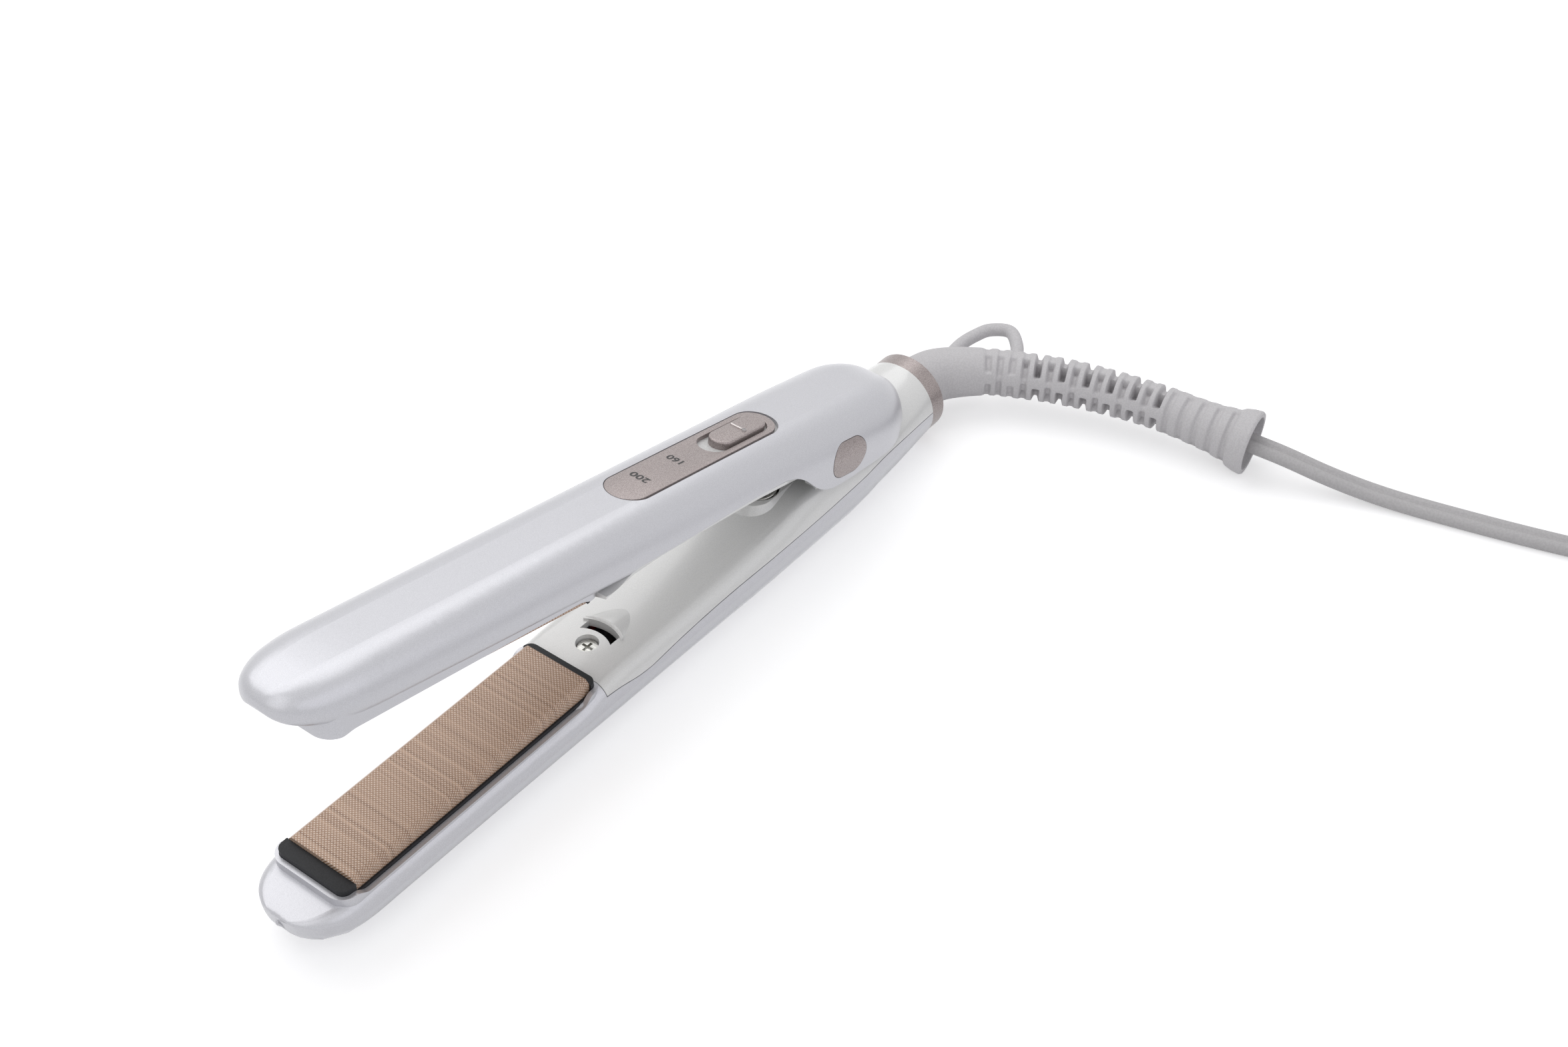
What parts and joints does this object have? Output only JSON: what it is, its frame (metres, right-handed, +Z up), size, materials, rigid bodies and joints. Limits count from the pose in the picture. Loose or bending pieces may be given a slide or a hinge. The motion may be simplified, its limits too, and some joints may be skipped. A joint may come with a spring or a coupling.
{
  "type": "mini hair straightener",
  "caption": "Small corded hair straightener with two hinged arms, heated flat plates, a slide switch and a ribbed swivel cord guard, shown open.",
  "frame": {"origin": "on the floor under the middle of the arms' length, without the cord end", "axes": "+X along the lower arm from the tip toward the cord, +Y across the arms, +Z up from the floor"},
  "size_m": [0.2796, 0.2713, 0.0662],
  "materials": {
    "pearl_shell": "pearl satin paint on plastic",
    "cover_white": "glossy pearl white",
    "plate_coating": "ceramic coating on aluminium, printed dots",
    "black_gasket": "matte",
    "heater_ceramic": "ceramic",
    "clamp_metal": "plain",
    "carrier_resin": "heat-proof resin",
    "silicone": "silicone",
    "steel": "plain",
    "rose_metal": "mauve metallic with fine speckle",
    "elastomer": "matte light grey",
    "cord_jacket": "satin light grey",
    "plug_resin": "matte light grey",
    "brass": "plain",
    "socket_resin": "matte",
    "board_green": "lacquer",
    "component_black": "matte",
    "clear_plastic": "clear",
    "shutter_white": "glossy",
    "lead_jacket": "silicone jacket"
  },
  "bodies": {
    "lower_arm": {"lower_casing": "pearl_shell", "lower_cover": "cover_white", "lower_cover_screw": "steel", "lower_cushions": "silicone", "lower_gasket": "black_gasket", "lower_heater": "heater_ceramic", "lower_heater_clamp": "clamp_metal", "lower_leads": "lead_jacket", "lower_plate": "plate_coating", "lower_plate_carrier": "carrier_resin", "barrel_ring": "rose_metal", "swivel_collar": "socket_resin", "contact_fingers": "brass", "opening_spring": "steel", "hinge_bushes": "brass", "temperature_sensor": "steel"},
    "upper_arm": {"board_screws": "steel", "capacitor": "component_black", "circuit_board": "board_green", "hinge_badges": "rose_metal", "hinge_pin": "steel", "indicator_lamp": "clear_plastic", "slide_switch": "component_black", "switch_plate": "rose_metal", "thermal_fuse": "steel", "triac": "component_black", "upper_casing": "pearl_shell", "upper_cover": "cover_white", "upper_cover_screw": "steel", "upper_cushions": "silicone", "upper_gasket": "black_gasket", "upper_heater": "heater_ceramic", "upper_heater_clamp": "clamp_metal", "upper_leads": "lead_jacket", "upper_plate": "plate_coating", "upper_plate_carrier": "carrier_resin"},
    "switch": {"switch_knob": "rose_metal", "knob_bead": "clear_plastic", "switch_shutter": "shutter_white"},
    "cord_end": {"swivel_elbow": "elastomer", "ribbed_guard": "elastomer", "hanging_loop": "elastomer", "power_cord": "cord_jacket", "cord_coil": "cord_jacket", "cord_tail": "cord_jacket", "plug": "plug_resin", "plug_blades": "brass", "swivel_stem": "socket_resin", "slip_rings": "brass"}
  },
  "joints": [
    {"name": "arm_hinge", "type": "hinge", "parent": "lower_arm", "child": "upper_arm", "pos_m": [0.05974, 0, 0.0239], "axis": [0, -1, 0], "range_deg": [0, 14], "stiffness_Nm_per_rad": 0.6, "springref_deg": -28.65, "deforming": ["opening_spring"]},
    {"name": "switch_slide", "type": "slide", "parent": "upper_arm", "child": "switch", "axis": [-0.9746, 0, 0.2239], "range_m": [0, 0.0032]},
    {"name": "cord_swivel", "type": "hinge", "parent": "lower_arm", "child": "cord_end", "pos_m": [0.0974, 0, 0.00985], "axis": [1, 0, 0], "continuous": true}
  ]
}
